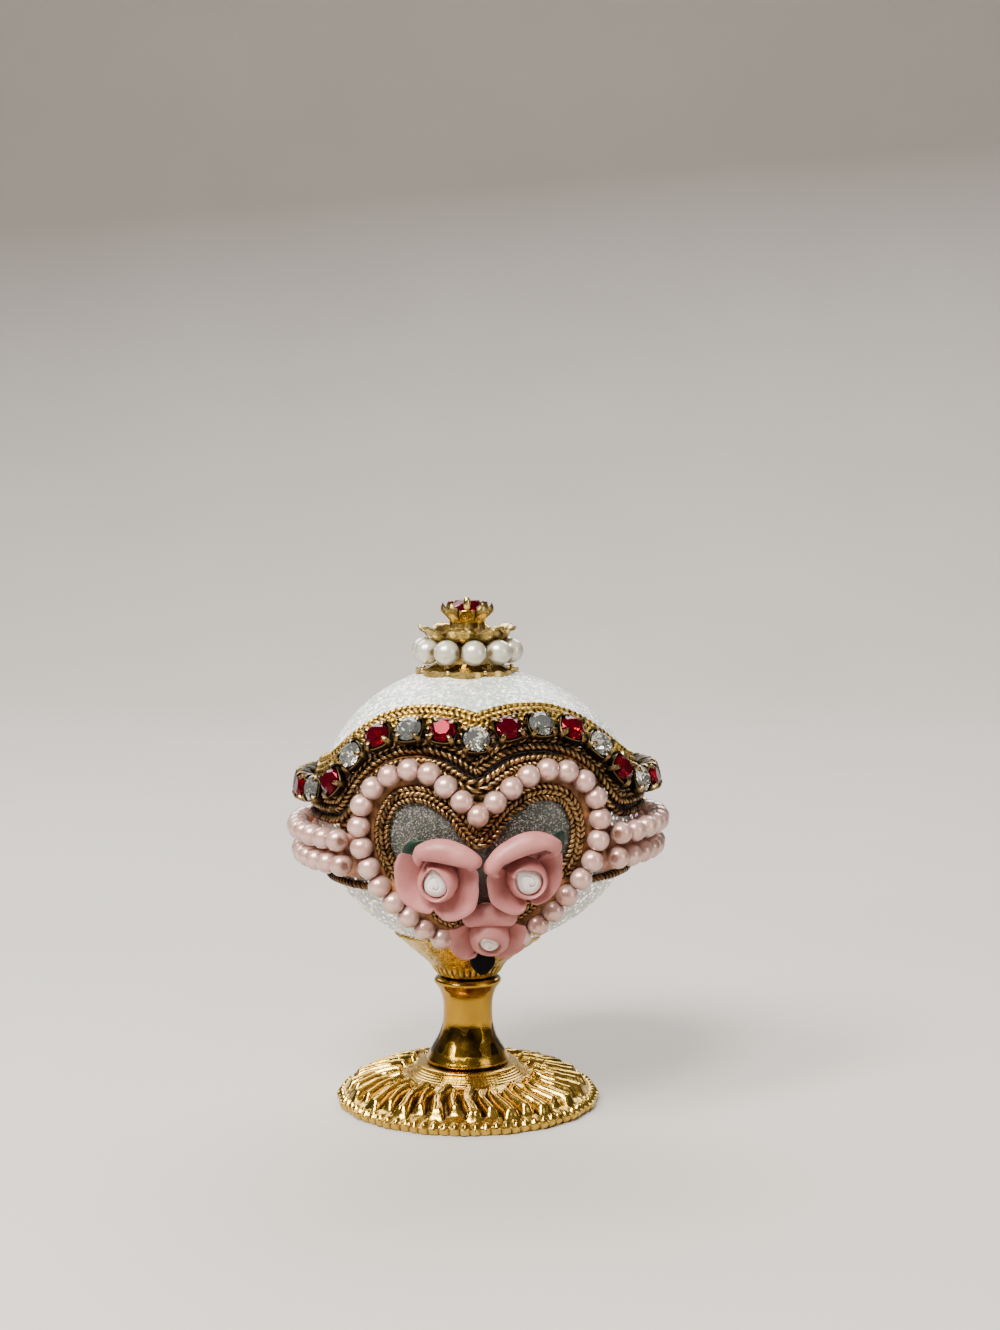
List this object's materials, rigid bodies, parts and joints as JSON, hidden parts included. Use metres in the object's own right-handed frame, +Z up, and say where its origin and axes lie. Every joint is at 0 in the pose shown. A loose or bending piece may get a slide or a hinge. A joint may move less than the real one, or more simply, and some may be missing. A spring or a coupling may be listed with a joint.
{
  "type": "egg-shaped trinket box",
  "caption": "Decorated egg laid on its side on a gilt pedestal, a hollow trinket box with a lift-off lid, pearl heart, porcelain roses, rhinestone chain and small crown.",
  "frame": {"origin": "middle of the foot's flat underside, on the axis of the stem and the crown", "axes": "+Z up along the stem; the heart and roses face -Y; the egg's long axis lies along X, its longer end at +X"},
  "size_m": [0.0429, 0.0415, 0.058],
  "materials": {
    "gilt_metal": "bright gilt casting, polished on the stem",
    "glitter_shell": "white lacquered egg shell under fine iridescent glitter",
    "gold_cord": "twisted metallic cord, antique gold on dark brown",
    "chain_metal": "antique gold cup chain, dark in the hollows",
    "red_glass": "ruby red foiled glass, faceted",
    "clear_glass": "clear foiled glass, faceted",
    "peach_ribbon": "thin peach strip under the pearls",
    "pink_pearl": "pale pink imitation pearl",
    "ivory_pearl": "ivory white imitation pearl",
    "rose_porcelain": "dusty pink bisque, pale in the bud",
    "leaf_green": "dark green bisque",
    "leaf_dark": "near-black bisque"
  },
  "bodies": {
    "root": {"foot": "gilt_metal", "stem": "gilt_metal", "cup": "gilt_metal", "shell_base": "glitter_shell", "base_rim_cord": "gold_cord", "base_lower_cord": "gold_cord", "pearl_backing": "peach_ribbon", "pearl_row_upper": "pink_pearl", "pearl_row_lower": "pink_pearl", "heart_pearls": "pink_pearl", "heart_inner_braid": "gold_cord", "rose_left": "rose_porcelain", "rose_right": "rose_porcelain", "rose_bottom": "rose_porcelain", "leaf_left": "leaf_green", "leaf_right": "leaf_green", "leaf_bottom": "leaf_dark", "shell_lid": "glitter_shell", "lid_rim_cord": "gold_cord", "lid_upper_braid": "gold_cord", "rhinestone_chain": "chain_metal", "stone_clear_01": "clear_glass", "stone_red_02": "red_glass", "stone_clear_03": "clear_glass", "stone_red_04": "red_glass", "stone_clear_05": "clear_glass", "stone_red_06": "red_glass", "stone_clear_07": "clear_glass", "stone_red_08": "red_glass", "stone_clear_09": "clear_glass", "stone_red_10": "red_glass", "stone_clear_11": "clear_glass", "stone_red_12": "red_glass", "stone_clear_13": "clear_glass", "stone_red_14": "red_glass", "stone_clear_15": "clear_glass", "stone_red_16": "red_glass", "stone_clear_17": "clear_glass", "stone_red_18": "red_glass", "stone_clear_19": "clear_glass", "stone_red_20": "red_glass", "stone_clear_21": "clear_glass", "stone_red_22": "red_glass", "stone_clear_23": "clear_glass", "stone_red_24": "red_glass", "stone_clear_25": "clear_glass", "stone_red_26": "red_glass", "stone_clear_27": "clear_glass", "stone_red_28": "red_glass", "stone_clear_29": "clear_glass", "stone_red_30": "red_glass", "stone_clear_31": "clear_glass", "stone_red_32": "red_glass", "crown_base": "gilt_metal", "crown_pearls": "ivory_pearl", "crown_petals": "gilt_metal", "crown_setting": "gilt_metal", "crown_stone": "red_glass"}
  },
  "joints": []
}
